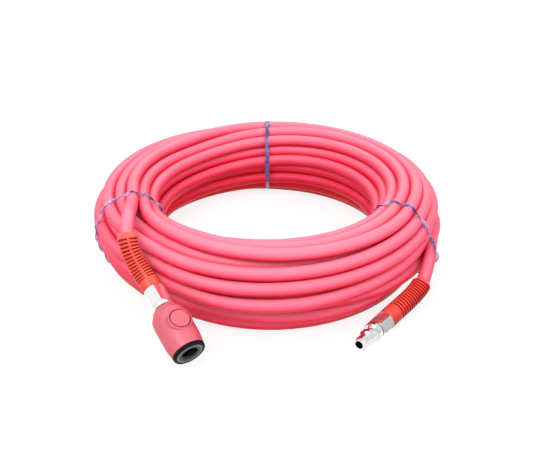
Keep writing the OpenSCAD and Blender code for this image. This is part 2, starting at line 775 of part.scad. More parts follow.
module poppet_seal() {
    color("black") at_socket()
    translate([0, 0, -head_front])
    difference() {
        cylinder(d = head_d, h = washer_t - 0.05);
        translate([0, 0, -eps]) cylinder(d = poppet_nose_d + 0.02, h = washer_t + 2 * eps);
    }
}
adapter_thread_l = 8;
adapter_front = flange_depth - adapter_thread_l;
module valve_spring() {
    color("silver") at_socket()
    translate([0, 0, -adapter_front + spring_gap])
    spring(3.9, 0.8, adapter_front - head_back - 2 * spring_gap, 5);
}

// The adapter: screwed in the body's rear, with a flange, a shank and a barb
adapter_bore = 4.6;
gasket_t = flange_depth - body_back;
module socket_adapter() {
    adapter_back = socket_nut_depth + shank_end + barb_l;
    color("silver") at_socket() difference() {
        union() {
            cylinder_up(chamber_d - 0.06, -flange_depth - eps, -adapter_front);
            translate([0, 0, -flange_depth]) mirror([0, 0, 1]) flange_disc();
            translate([0, 0, -flange_depth - flange_t]) tail(socket_nut_gap + shank_end);
        }
        cylinder_up(adapter_bore, -adapter_back - eps, -adapter_front + eps);
    }
}
module flange_disc() {
    rotate_extrude() polygon([[0, 0], [flange_d / 2 - 0.4, 0], [flange_d / 2, 0.4],
        [flange_d / 2, flange_t - 0.4], [flange_d / 2 - 0.4, flange_t], [0, flange_t]]);
}
module adapter_gasket() {
    color("black") at_socket()
    translate([0, 0, -flange_depth])
    difference() {
        cylinder(d = neck_d, h = gasket_t);
        translate([0, 0, -eps]) cylinder(d = chamber_d, h = gasket_t + 2 * eps);
    }
}
module socket_nut() {
    color("silver") at_socket()
    translate([0, 0, -socket_nut_depth]) rotate([0, 0, 15]) nut();
}

// ---------------------------------------------------------------- the quick plug
// Its frame: the nose's tip is at 0 and points along +Z
module at_plug() {
    placed()
    translate(tip_at) rotate([0, 90, plug_turn]) rotate([0, 0, 180]) children();
}
module plug_body() {
    lock_from = plug_reach - 4;
    lock_to = plug_reach - 1.4;
    collar_back = plug_reach + plug_collar_t;
    plug_back = plug_l + shank_end + barb_l;
    color("silver") at_plug() difference() {
        union() {
            rotate_extrude() polygon(down([
                [0, 0], [nose_d / 2 - 1.1, 0], [nose_d / 2 - 0.3, 0.5], [nose_d / 2, 1.4],
                [nose_d / 2, nose_l], [bulge_d / 2, nose_l + 1.6], [bulge_d / 2, lock_from - 0.4],
                [groove_d / 2, lock_from], [groove_d / 2, lock_to], [bulge_d / 2, plug_reach - 0.8],
                [bulge_d / 2, plug_reach], [plug_collar_d / 2 - 0.5, plug_reach],
                [plug_collar_d / 2, plug_reach + 0.5],
                [plug_collar_d / 2, collar_back - 0.3], [plug_collar_d / 2 - 0.4, collar_back],
                [0, collar_back]]));
            translate([0, 0, -collar_back]) tail(plug_l - collar_back + shank_end);
        }
        cylinder_up(adapter_bore, -plug_back - eps, -plug_reach + eps);
        cylinder_up(plug_bore, -plug_reach, eps);
    }
}
module plug_nut() {
    color("silver") at_plug() translate([0, 0, -plug_l]) rotate([0, 0, 30]) nut();
}

hose_core();
hose_coil();
hose_end_socket();
hose_end_plug();
tie_left();
tie_back();
tie_right();
socket_guard();
socket_nut();
socket_adapter();
adapter_gasket();
socket_shell();
front_ring();
face_plate();
valve_body();
nose_seal();
latch_plate();
push_button();
button_spring();
valve_poppet();
poppet_seal();
valve_spring();
plug_guard();
plug_nut();
plug_body();
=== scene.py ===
"""A soft air hose, put away as a tied round coil, with a quick socket and a quick plug."""
import json
from math import radians, pi

import bpy
import numpy as np
from mathutils import Euler, Matrix, Vector


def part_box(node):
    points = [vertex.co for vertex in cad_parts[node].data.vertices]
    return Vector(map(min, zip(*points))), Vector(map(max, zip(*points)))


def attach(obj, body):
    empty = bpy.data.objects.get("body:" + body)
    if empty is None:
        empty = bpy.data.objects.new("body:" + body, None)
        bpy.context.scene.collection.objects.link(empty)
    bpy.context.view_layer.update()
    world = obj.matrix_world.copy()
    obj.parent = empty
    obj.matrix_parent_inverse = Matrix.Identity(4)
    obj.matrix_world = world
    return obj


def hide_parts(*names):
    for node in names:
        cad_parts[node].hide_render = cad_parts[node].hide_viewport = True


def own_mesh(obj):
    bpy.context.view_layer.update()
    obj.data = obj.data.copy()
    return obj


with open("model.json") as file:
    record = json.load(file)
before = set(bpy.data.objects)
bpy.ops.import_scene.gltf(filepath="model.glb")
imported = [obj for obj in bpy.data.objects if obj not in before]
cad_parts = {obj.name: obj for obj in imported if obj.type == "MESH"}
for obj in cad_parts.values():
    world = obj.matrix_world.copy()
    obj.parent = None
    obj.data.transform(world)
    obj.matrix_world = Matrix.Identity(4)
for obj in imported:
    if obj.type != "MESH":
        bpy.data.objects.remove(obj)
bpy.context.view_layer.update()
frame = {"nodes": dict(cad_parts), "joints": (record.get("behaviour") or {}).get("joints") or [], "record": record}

MM = 0.001

# ---------------------------------------------------------------- sizes
# The hose
HOSE_D = 10 * MM
HOSE_R = HOSE_D / 2
HOSE_BORE_R = 3.25 * MM
BORE_DEPTH = 13 * MM
HOSE_SIDES = 20

# The bundle of turns. Its outline is rounded by a power, where 2 makes an ellipse, and its
# lowest turns stand a little flattened on the floor. The half sizes go to the centre lines.
COIL_R = 116 * MM
BUNDLE_W = 60 * MM
BUNDLE_H = 68 * MM
ROUND_TOP = 1.8
ROUND_BOTTOM = 1.95
FLAT_CUT = 1 * MM
HALF_W = (BUNDLE_W - HOSE_D) / 2
HALF_H = (BUNDLE_H - HOSE_D + FLAT_CUT) / 2
MID_Z = HOSE_R - FLAT_CUT + HALF_H
EDGE_R = COIL_R + BUNDLE_W / 2

# Where the free ends lie against the bundle, and how far it gives way to them
PRESS_LEFT_AT = -131
PRESS_RIGHT_AT = -33
PRESS_LEFT = 7 * MM
PRESS_RIGHT = 4 * MM
PRESS_FLAT = 7
PRESS_FADE = 32

# The nuts, and the guards' sleeves, which start a share of the way down from their tips
NUT_L = 14.2 * MM
HOSE_IN_NUT = 9.2 * MM
GUARD_R = 7.3 * MM
GUARD_FROM = 0.1

# The coil's centre, from the round core of inner turns
core_low, core_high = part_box("hose_core")
COIL_AT = Vector((0, core_high[1] + core_low[0], 0))


def polar(r, az):
    return np.array([r * np.cos(radians(az)), r * np.sin(radians(az)), 0])


def round_way(az):
    """The way round the coil at an azimuth, anticlockwise seen from above."""
    return np.array([-np.sin(radians(az)), np.cos(radians(az)), 0])


def run_along(points):
    """How far along a line of points each one lies, from 0."""
    return np.concatenate([[0], np.cumsum(np.linalg.norm(np.diff(points, axis=0), axis=1))])


def unit(v):
    v = np.asarray(v, float)
    return v / np.linalg.norm(v, axis=-1, keepdims=True)


def way_of(turn, tilt):
    """A level way turned about Z from X, then tilted down, in degrees."""
    t, d = radians(turn), radians(tilt)
    return np.array([np.cos(t) * np.cos(d), np.sin(t) * np.cos(d), -np.sin(d)])


# Where the two ends lie, in the coil's own frame. Pulls are how far each curve runs on along
# its way: out of the coil, into the guard's tip, out of it, and into the nut.
SOCKET_FACE = polar(EDGE_R, PRESS_LEFT_AT) + np.array([44.2, -58.3, 12]) * MM
SOCKET_WAY = way_of(-57, 22.5)
SOCKET_NUT_DEPTH = 43.1 * MM
SOCKET_TIP = polar(EDGE_R, PRESS_LEFT_AT) + np.array([-4.8, 15.2, 70]) * MM
SOCKET_TIP_WAY = unit([-0.02, -0.74, -0.68])
SOCKET_PULLS = [42 * MM, 14 * MM, 21.4 * MM, 19.4 * MM]
SOCKET_GUARD_AT = SOCKET_FACE - SOCKET_WAY * (SOCKET_NUT_DEPTH + NUT_L)
PLUG_TIP_AT = polar(EDGE_R, PRESS_RIGHT_AT) + np.array([-59, -72.9, 7.3]) * MM
PLUG_WAY = way_of(-127.5, 0)
PLUG_NUT_DEPTH = 21.8 * MM
PLUG_TIP = polar(EDGE_R, PRESS_RIGHT_AT) + np.array([-4, -9.2, 21.8]) * MM
PLUG_TIP_WAY = unit([-0.35, -0.87, -0.34])
PLUG_PULLS = [23.1 * MM, 30 * MM, 14 * MM, 29.3 * MM]
PLUG_GUARD_AT = PLUG_TIP_AT - PLUG_WAY * (PLUG_NUT_DEPTH + NUT_L)

TIE_AZ = {"tie_left": -161.5, "tie_back": 90, "tie_right": -28}


# ---------------------------------------------------------------- camera and stage
CAMERA_FROM_COIL = (0, -0.5794, 0.3345)
CAMERA_DOWN = 30
CAMERA_ROLL = -0.2
CAMERA_NOD = 1.4
CAMERA_LENS = 51.3
CAMERA_SENSOR = 36
LIGHT_AIM = (0, 0, 0.03)
FLOOR_HALF = 4.0
FLOOR_GLOW = 1.15
FLOOR_GLOW_SHARE = 0.72
WORLD_STRENGTH = 0.75
CARD_SHARE = 0.8
# The lamps: where each one is, how wide it is, and its power in watts
LIGHTS = {
    "key": ((-0.5, -0.6, 1.1), 0.7, 5.2),
    "fill": ((0.9, -0.5, 0.7), 0.9, 2.6),
    "back": ((0.1, 1.0, 0.9), 0.8, 3),
}


def make_camera():
    camera = bpy.data.objects.new("camera", bpy.data.cameras.new("camera"))
    bpy.context.collection.objects.link(camera)
    camera.data.lens = CAMERA_LENS
    camera.data.sensor_width = CAMERA_SENSOR
    camera.data.clip_start = 0.01
    turn = Matrix.Rotation(radians(CAMERA_ROLL), 3, "Y") @ \
        Matrix.Rotation(radians(CAMERA_NOD), 3, "X")
    look = Euler((pi / 2 - radians(CAMERA_DOWN), 0, 0)).to_matrix() @ turn
    camera.matrix_world = Matrix.Translation(COIL_AT + Vector(CAMERA_FROM_COIL)) @ look.to_4x4()
    bpy.context.scene.camera = camera


def area_light(name, at, size, power):
    lamp = bpy.data.lights.new(name, "AREA")
    lamp.shape = "DISK"
    lamp.size = size
    lamp.energy = power
    obj = bpy.data.objects.new(name, lamp)
    bpy.context.collection.objects.link(obj)
    obj.location = at
    obj.rotation_euler = (Vector(LIGHT_AIM) - Vector(at)).to_track_quat("-Z", "Y").to_euler()


# ---------------------------------------------------------------- shader helpers
class Link:
    """A value in a shader. Sums and products of links add Math nodes."""

    def __init__(self, shader, socket):
        self.shader = shader
        self.socket = socket

    def math(self, operation, *others):
        inputs = {0: self}
        for place, other in enumerate(others, 1):
            inputs[place] = other
        return self.shader.node("ShaderNodeMath", {"operation": operation}, inputs)

    def __add__(self, other):
        return self.math("ADD", other)

    def __mul__(self, other):
        return self.math("MULTIPLY", other)

    def __sub__(self, other):
        return self.math("SUBTRACT", other)

    def __rsub__(self, other):
        return self.shader.node("ShaderNodeMath", {"operation": "SUBTRACT"}, {0: other, 1: self})

    __radd__ = __add__
    __rmul__ = __mul__

    def clipped(self):
        return self.shader.node("ShaderNodeClamp", {}, {"Value": self})


class Nodes:
    """A node tree, with one method that adds any node."""

    def __init__(self, tree):
        self.tree = tree

    def fill(self, socket, value):
        if isinstance(value, Link):
            self.tree.links.new(value.socket, socket)
        elif socket.type == "RGBA" and len(value) == 3:
            socket.default_value = (*value, 1)
        else:
            socket.default_value = value

    def node(self, kind, settings=None, inputs=None, output=0):
        made = self.tree.nodes.new(kind)
        for key, value in (settings or {}).items():
            if key == "stops":
                ramp = made.color_ramp
                while len(ramp.elements) < len(value):
                    ramp.elements.new(0.5)
                for element, (place, colour) in zip(ramp.elements, value):
                    element.position = place
                    element.color = (*colour, 1)
            else:
                setattr(made, key, value)
        for key, value in (inputs or {}).items():
            self.fill(made.inputs[key], value)
        return Link(self, made.outputs[output])

    def ramp(self, factor, *stops):
        return self.node("ShaderNodeValToRGB", {"stops": stops}, {"Fac": factor})

    def mix(self, factor, a, b):
        return self.node("ShaderNodeMix", {"data_type": "RGBA"}, {0: factor, 6: a, 7: b}, output=2)

    def ray(self, kind):
        """1 for rays of a kind, such as Camera, and 0 for others."""
        return self.node("ShaderNodeLightPath", output=f"Is {kind} Ray")


class Shader(Nodes):
    """One material, built from its principled shader outwards."""

    def __init__(self, name, **sockets):
        self.material = bpy.data.materials.new(name)
        self.material.use_nodes = True
        super().__init__(self.material.node_tree)
        self.body = self.tree.nodes["Principled BSDF"]
        for key, value in sockets.items():
            self.set({"ior": "IOR", "specular": "Specular IOR Level"}.get(
                key, key.replace("_", " ").title()), value)

    def set(self, name, value):
        self.fill(self.body.inputs[name], value)

    def place(self):
        return self.node("ShaderNodeTexCoord", output="Object")

    def noise(self, scale, detail=2):
        return self.node("ShaderNodeTexNoise", {}, {
            "Vector": self.place(), "Scale": scale, "Detail": detail})

    def upward(self):
        """How far the surface faces up, from -1 to 1."""
        return self.node("ShaderNodeSeparateXYZ", {}, {
            "Vector": self.node("ShaderNodeNewGeometry", output="Normal")}, output="Z")

    def edge(self):
        """How far the surface turns away from the eye, from 0 to 1."""
        return self.node("ShaderNodeLayerWeight", {}, {"Blend": 0.4}, output="Facing")

    def vector(self, operation, a, b, output=0):
        return self.node("ShaderNodeVectorMath", {"operation": operation}, {0: a, 1: b}, output)

    def depth(self, origin, way):
        """How far a point lies along a way from an origin, in metres."""
        offset = self.vector("SUBTRACT", self.place(), tuple(origin))
        return self.vector("DOT_PRODUCT", offset, tuple(way), "Value")

    def radius(self, origin, way):
        """How far a point lies from the line through an origin along a way, in metres."""
        offset = self.vector("SUBTRACT", self.place(), tuple(origin))
        across = self.vector("CROSS_PRODUCT", offset, tuple(way))
        return self.node("ShaderNodeVectorMath", {"operation": "LENGTH"}, {0: across}, "Value")

    def bump(self, height, strength, distance):
        self.set("Normal", self.node("ShaderNodeBump", {}, {
            "Height": height, "Strength": strength, "Distance": distance}))


# ---------------------------------------------------------------- materials
def hose_finish():
    """Soft plastic with painted light and shade in its colour: pale where it faces up and lies high in the coil,
    and a strong red as painted shade where it turns away from the eye and where it lies low, most of all on the
    coil's inner side."""
    shader = Shader("hose_soft", ior=1.5, specular=0.25)
    middle = (*COIL_AT[:2], 0)
    up = (0, 0, 1)
    height = shader.depth(middle, up)
    # Painted shade: strands low on the coil's inner side, where little light reaches, are darker.
    inside = (33 * (COIL_R + 8 * MM - shader.radius(middle, up))).clipped() * \
        (1 - 18 * height).clipped()
    # Painted light and shade: paler where it faces up and lies high, darker where it turns from the eye; the noise
    # is the hose's own mottle.
    pale = 0.25 + 0.40 * shader.upward() - 0.40 * shader.edge() + \
        0.16 * shader.noise(25, detail=3) + 4.6 * height - 0.5 * inside
    shader.set("Base Color", shader.ramp(
        pale.clipped(), (0.0, (0.66, 0.002, 0.014)), (0.3, (0.94, 0.03, 0.10)),
        (0.6, (1.0, 0.13, 0.225)), (0.95, (1.0, 0.29, 0.40))))
    shader.set("Roughness", 0.34 + 0.12 * shader.noise(240))
    shader.bump(shader.noise(420), 0.12, 0.0004)
    return shader.material


def guard_finish(name, lift, top_light, slot_shade, painted_slot_red):
    """Clear red plastic with painted light and shade: pale on its crests and where it faces up, dark as painted
    shade where it faces down, a set painted red in its slots in place of their light and shade, and as pink as the
    hose where its lip thins out."""
    shader = Shader(name, ior=1.38)
    slot = shader.node("ShaderNodeAttribute", {"attribute_name": "slot"}, output="Fac")
    lip = shader.node("ShaderNodeAttribute", {"attribute_name": "lip"}, output="Fac")
    # Painted light and shade: paler where it faces up, darker where it faces down and in its slots; the noise is
    # the plastic's own uneven tone.
    pale = lift + top_light * shader.upward() + 0.2 * shader.noise(90, detail=3) - slot_shade * slot
    body = shader.ramp(
        pale.clipped(), (0.0, (0.20, 0.004, 0.006)), (0.25, (0.50, 0.010, 0.008)),
        (0.55, (0.92, 0.045, 0.03)), (0.95, (1.0, 0.18, 0.12)))
    # Painted slot colour: the slots get a set red in place of their own light and shade.
    body = shader.mix(0.8 * slot, body, (painted_slot_red, 0.01, 0.008))
    shader.set("Base Color", shader.mix(0.8 * lip, body, (0.97, 0.17, 0.2)))
    shader.set("Roughness", 0.26 + 0.12 * shader.noise(300) + 0.3 * slot)
    shader.bump(shader.noise(500), 0.1, 0.0003)
    return shader.material


def shell_finish():
    """Moulded plastic with painted light where it faces up and painted shade, a darker colour, where it turns away
    from the eye.
    """
    shader = Shader("shell_plastic", ior=1.5)
    # Painted light and shade from the way the surface faces; the noise is the plastic's own uneven tone.
    pale = 0.42 + 0.35 * shader.upward() - 0.5 * shader.edge() + 0.2 * shader.noise(60)
    shader.set("Base Color", shader.ramp(
        pale.clipped(), (0.0, (0.50, 0.045, 0.065)), (0.5, (0.76, 0.115, 0.16)),
        (0.95, (0.88, 0.20, 0.26))))
    shader.set("Roughness", 0.32 + 0.1 * shader.noise(350))
    shader.bump(shader.noise(900, detail=3), 0.12, 0.0002)
    return shader.material


def plain_finish(name, colour, roughness, metallic=0.0, spread=0.1, bump=0.08, ior=1.5):
    """One colour in patches that differ by a spread, with a fine grain."""
    shader = Shader(name, metallic=metallic, ior=ior)
    dark = tuple(c * (1 - spread) for c in colour)
    shader.set("Base Color", shader.ramp(shader.noise(120), (0.3, dark), (0.7, colour)))
    shader.set("Roughness", roughness + 0.1 * shader.noise(600))
    shader.bump(shader.noise(600, detail=3), bump, 0.0002)
    return shader.material


def mouth_finish():
    """Plated metal, bright at the socket's mouth, with painted shade further in, where little light reaches."""
    shader = Shader("mouth_metal", metallic=1.0)
    inwards = shader.depth(np.array(COIL_AT) + SOCKET_FACE, -SOCKET_WAY)
    # Painted shade: the colour goes to near black with depth into the mouth.
    shader.set("Base Color", shader.ramp(
        (200 * inwards).clipped(), (0.0, (0.85, 0.85, 0.85)), (0.12, (0.7, 0.7, 0.7)),
        (0.22, (0.015, 0.015, 0.018))))
    shader.set("Roughness", 0.16 + 0.1 * shader.noise(500))
    shader.bump(shader.noise(700, detail=3), 0.04, 0.0002)
    return shader.material


def plate_finish():
    """Dark grey, with painted highlights round the edge of the hole in its middle and a lighter painted band
    towards its rim.
    """
    shader = Shader("face_grey", metallic=0.3, ior=1.3)
    from_middle = shader.radius(np.array(COIL_AT) + SOCKET_FACE, SOCKET_WAY)
    # Painted highlights: bright at the hole's edge and lighter towards the rim.
    shader.set("Base Color", shader.ramp(
        (100 * from_middle).clipped(), (0.545, (0.8, 0.8, 0.8)), (0.575, (0.05, 0.053, 0.058)),
        (0.80, (0.07, 0.074, 0.08)), (0.86, (0.2, 0.2, 0.21))))
    shader.set("Roughness", 0.3 + 0.15 * shader.noise(500))
    shader.bump(shader.noise(700, detail=3), 0.1, 0.0002)
    return shader.material


def film_finish(name, size, split):
    """Thin wrapping film, pale and dark in random patches; the dark patches are painted shade, like the shade in
    its folds and twists.
    """
    shader = Shader(name, ior=1.5, coat_weight=0.6, coat_roughness=0.1)
    # Painted shade: random dark patches stand in for the shade in the film's folds and twists.
    shader.set("Base Color", shader.ramp(
        shader.noise(size, detail=3), (split, (0.08, 0.05, 0.28)),
        (split + 0.1, (0.38, 0.25, 0.56)), (split + 0.2, (0.68, 0.50, 0.74))))
    shader.set("Roughness", 0.14 + 0.1 * shader.noise(400))
    shader.bump(shader.noise(600, detail=3), 0.3, 0.0003)
    return shader.material


def make_finishes():
    return {
        "hose_soft": hose_finish(),
        "guard_soft": guard_finish("guard_soft", lift=0.42, top_light=0.34, slot_shade=0.06, painted_slot_red=0.42),
        # guard_shade is the same clear plastic as guard_soft with painted shade: its lower lift makes the plug's
        # guard darker all over, and its slots get a brighter painted red.
        "guard_shade": guard_finish("guard_shade", lift=0.10, top_light=0.52, slot_shade=0.02,
                                    painted_slot_red=0.85),
        "shell_plastic": shell_finish(),
        "ring_black": plain_finish("ring_black", (0.008, 0.008, 0.010), 0.5, ior=1.2),
        "face_grey": plate_finish(),
        "bright_metal": plain_finish("bright_metal", (0.82, 0.83, 0.83), 0.05, metallic=1.0,
                                     bump=0.01),
        "nut_metal": plain_finish("nut_metal", (1.0, 1.0, 1.0), 0.06, metallic=0.9, spread=0.04,
                                  bump=0.0),
        "mouth": mouth_finish(),
        "valve_brass": plain_finish("valve_brass", (0.74, 0.55, 0.24), 0.22, metallic=1.0),
        "spring_steel": plain_finish("spring_steel", (0.62, 0.62, 0.64), 0.22, metallic=1.0),
        "seal_rubber": plain_finish("seal_rubber", (0.02, 0.02, 0.02), 0.6),
        "tie_film": film_finish("tie_film", 130, 0.40),
        "back_film": film_finish("back_film", 60, 0.56),
    }


# ---------------------------------------------------------------- meshes
def mesh_object(name, points, faces, finish):
    mesh = bpy.data.meshes.new(name)
    mesh.from_pydata([tuple(p) for p in points], [], [tuple(int(i) for i in f) for f in faces])
    mesh.validate()
    mesh.update()
    mesh.shade_smooth()
    obj = bpy.data.objects.new(name, mesh)
    bpy.context.collection.objects.link(obj)
    mesh.materials.append(finish)
    return obj


def carried_frames(path):
    """Two sides square to each point of a path and to each other, carried along without twist."""
    ways = unit(np.gradient(path, axis=0))
    side = unit(np.cross((0, 0, 1), ways[0]))
    sides = [side]
    for way in ways[1:]:
        side = unit(side - way * side.dot(way))
        sides.append(side)
    sides = np.array(sides)
    return sides, np.cross(ways, sides)


def rings(path, frames, radii, count):
    """Rings of points round a path. Radii are one number, or one per point."""
    sides, ups = frames
    a = np.arange(count) * 2 * pi / count
    radii = np.broadcast_to(radii, (len(path), count))
    return (path[:, None] + sides[:, None] * (radii * np.cos(a))[..., None] +
            ups[:, None] * (radii * np.sin(a))[..., None])


def skin(count, rows, closed=False):
    """Quads between rows of points, each row a ring of count points."""
    i = np.arange(count)
    k = (i + 1) % count
    joins = [(row, (row + 1) % rows) for row in range(rows if closed else rows - 1)]
    return np.concatenate([np.stack([a * count + i, a * count + k, b * count + k, b * count + i], 1)
                           for a, b in joins])


def tube_mesh(loops):
    """Points and faces of a closed skin: rings joined in a row, the last to the first."""
    rows, count = loops.shape[:2]
    return loops.reshape(-1, 3), skin(count, rows, closed=True)


# ---------------------------------------------------------------- laying the hose
def smooth(t):
    t = np.clip(t, 0, 1)
    return t * t * (3 - 2 * t)


def degrees_apart(az, other):
    """Degrees between azimuths, from 0 to 180."""
    return np.abs((np.asarray(az, float) - other + 180) % 360 - 180)


def hump(az, middle, flat, fade):
    """1 round a middle azimuth, for flat degrees each way, and 0 from fade degrees on."""
    return 1 - smooth((degrees_apart(az, middle) - flat) / (fade - flat))


def bezier(a, b, c, d, t):
    t = np.asarray(t, float)[..., None]
    return a * (1 - t) ** 3 + 3 * b * t * (1 - t) ** 2 + 3 * c * t * t * (1 - t) + d * t ** 3


def bend(start, way, end, end_way, pull, end_pull, t):
    return bezier(start, start + way * pull, end - end_way * end_pull, end, t)


# The hose starts at the plug's end, low on the outer side, and goes round anticlockwise seen
# from above. It fills the outer layer's places up to the top, then the inner ones, then the
# rest of the outer layer backwards, and leaves from the top. Azimuths are in degrees.
SLICES = 96
START_AZ = -15
END_TURN_AZ = 187.5
TURNS = 27
OUTER = 17
FIRST_PLACE = -0.49
TOP_PLACE = 4
FIRST_TOP = TURNS - 1 - (OUTER - 1 - TOP_PLACE)
LAYER_TURN = 1.3
OUTLINE_STEPS = 180
DEEPER = 0.06
INNER_RING = 8
INNER_W = 11.5 * MM
INNER_H = 15.5 * MM
INNER_TURN = 1.2
MIDDLE_APART = 5.3 * MM
RISE = (258, 321)
SINK = (201, 259)
CROSS = (205, 312)

# Points on the free stretch and under the guard, and how near a slice they count
FREE_STEPS = 24
GUARD_STEPS = 16
NEAR_SLICE = 3.2

# How the turns settle: how far they wander, and how they are drawn to their places, smoothed
# and pushed apart at each step. They lie a little off the floor round a tie, and the first and
# last points of the coil are held.
WANDER = 1.6 * MM
WANDER_STEPS = (17, 41)
SETTLE_STEPS = 420
DRAW = 0.03
EASE = 0.35
PUSH = 0.45
PUSHES = 2
APART = HOSE_D * 1.012
CLEAR = HOSE_R * 1.02
TIE_LIFT = 0.9 * MM
TIE_FLAT = 5
TIE_FADE = 20
LOOSE_FROM = 30


def outline_at(angle, inner, outer, height):
    """Points of the bundle's outline, as [out, up] from its middle."""
    c, s = np.cos(angle), np.sin(angle)
    n = np.where(s >= 0, ROUND_TOP, ROUND_BOTTOM)
    r = (np.abs(c) ** n + np.abs(s) ** n) ** (-1 / n)
    return np.stack([np.where(c > 0, outer, inner) * r * c, height * r * s], -1)


def press(az):
    """How far the bundle gives way to the two free ends."""
    return PRESS_LEFT * hump(az, PRESS_LEFT_AT, PRESS_FLAT, PRESS_FADE) + \
        PRESS_RIGHT * hump(az, PRESS_RIGHT_AT, PRESS_FLAT, PRESS_FADE)


def turned(az):
    """How many places the outer layer lies turned inwards over its top, near the left tie."""
    return LAYER_TURN * smooth((az - 70) / 70) * (1 - smooth((az - 186) / 74))


def outer_place(k, az):
    """A place in the outer layer, as [out, up] from the bundle's middle. Places are even, and
    every other one lies deeper."""
    outline = outline_at(np.linspace(0, 2 * pi, OUTLINE_STEPS + 1), HALF_W, HALF_W - press(az),
                         HALF_H)
    run = run_along(outline)
    at = ((k + turned(az) + FIRST_PLACE) / OUTER) % 1 * run[-1]
    spot = np.array([np.interp(at, run, outline[:, 0]), np.interp(at, run, outline[:, 1])])
    return spot * (1 - DEEPER * (1 - np.cos(pi * k)))


def inner_place(k):
    """A place inside the outer layer: a ring round the middle, then two in it."""
    if k >= INNER_RING:
        return np.array([0, (2 * (k - INNER_RING) - 1) * MIDDLE_APART])
    a = 2 * pi * (k + 0.5) / INNER_RING + INNER_TURN
    return np.array([INNER_W * np.cos(a), INNER_H * np.sin(a)])


def over(span, az):
    """Smoothly from 0 to 1 over a span of azimuths."""
    return smooth((az - span[0]) / (span[1] - span[0]))


def goal_at(turn, az):
    """Where a turn wants to lie at an azimuth, as [out, up] from the bundle's middle."""
    if turn < TOP_PLACE - 1:
        return outer_place(turn + over(RISE, az), az)
    if turn >= FIRST_TOP:
        return outer_place(OUTER - 1 - (turn - FIRST_TOP) - over(SINK, az), az)
    place = turn - TOP_PLACE
    a = outer_place(turn, az) if place < 0 else inner_place(place)
    b = outer_place(OUTER - 1, az) if turn == FIRST_TOP - 1 else inner_place(place + 1)
    return a + (b - a) * over(CROSS, az)


def wander(count, step, rng):
    """Smooth noise along the hose: a new value every step points, of about unit size."""
    knots = rng.normal(size=(count // step + 4, 2))
    at = np.arange(count) / step
    i = at.astype(int)
    f = smooth(at - i)[:, None]
    return knots[i] * (1 - f) + knots[i + 1] * f


def kept_in(at, az):
    """Points of the bundle, drawn back where they stand out of its outline."""
    half_w = np.where(at[:, 0] > 0, HALF_W - press(az), HALF_W)
    half = np.stack([half_w, np.full(len(at), HALF_H)], 1)
    n = np.where(at[:, 1] > 0, ROUND_TOP, ROUND_BOTTOM)
    size = (np.abs(at / half) ** n[:, None]).sum(1) ** (1 / n)
    return at / np.maximum(size, 1)[:, None]


def end_paths():
    """The two free stretches, from the coil to the hose's end inside each nut."""
    paths = []
    for place, az, sign, tip, tip_way, guard_at, way, pulls in (
            (0, START_AZ, -1, PLUG_TIP, PLUG_TIP_WAY, PLUG_GUARD_AT, PLUG_WAY, PLUG_PULLS),
            (TOP_PLACE, END_TURN_AZ, 1, SOCKET_TIP, SOCKET_TIP_WAY, SOCKET_GUARD_AT, SOCKET_WAY,
             SOCKET_PULLS)):
        spot = outer_place(place, az)
        leave = polar(COIL_R + spot[0], az) + [0, 0, MID_Z + spot[1]]
        coil_way = sign * round_way(az)
        free = bend(leave + coil_way * HOSE_D, coil_way, tip, tip_way, pulls[0], pulls[1],
                    np.linspace(0, 1, FREE_STEPS + 1)[:-1])
        guarded = bend(tip, tip_way, guard_at, way, pulls[2], pulls[3],
                       np.linspace(0, 1, GUARD_STEPS + 1))
        last = guard_at + way * np.linspace(0, HOSE_IN_NUT, 4)[1:, None]
        paths.append(np.concatenate([free, guarded, last]))
    return paths


def passing_ends():
    """The free ends where they pass the coil, by slice, as [out, up, half width]."""
    spots = []
    for path in end_paths():
        for i, p in enumerate(path[3:-3], 3):
            az = np.degrees(np.arctan2(p[1], p[0]))
            spots.append((az, np.hypot(p[0], p[1]) - COIL_R, p[2] - MID_Z,
                          HOSE_R if i < FREE_STEPS else GUARD_R))
    spots = np.array(spots)
    slices = START_AZ + np.arange(SLICES) * 360 / SLICES
    found = [spots[degrees_apart(spots[:, 0], az) < NEAR_SLICE, 1:] for az in slices]
    table = np.full((SLICES, max(map(len, found)), 3), np.nan)
    for row, some in zip(table, found):
        row[:len(some)] = some
    return table.transpose(1, 0, 2)


def way_and_far(gap):
    """Unit ways and lengths of gaps."""
    far = np.sqrt((gap ** 2).sum(-1))
    return gap / np.maximum(far, 1e-6)[..., None], far


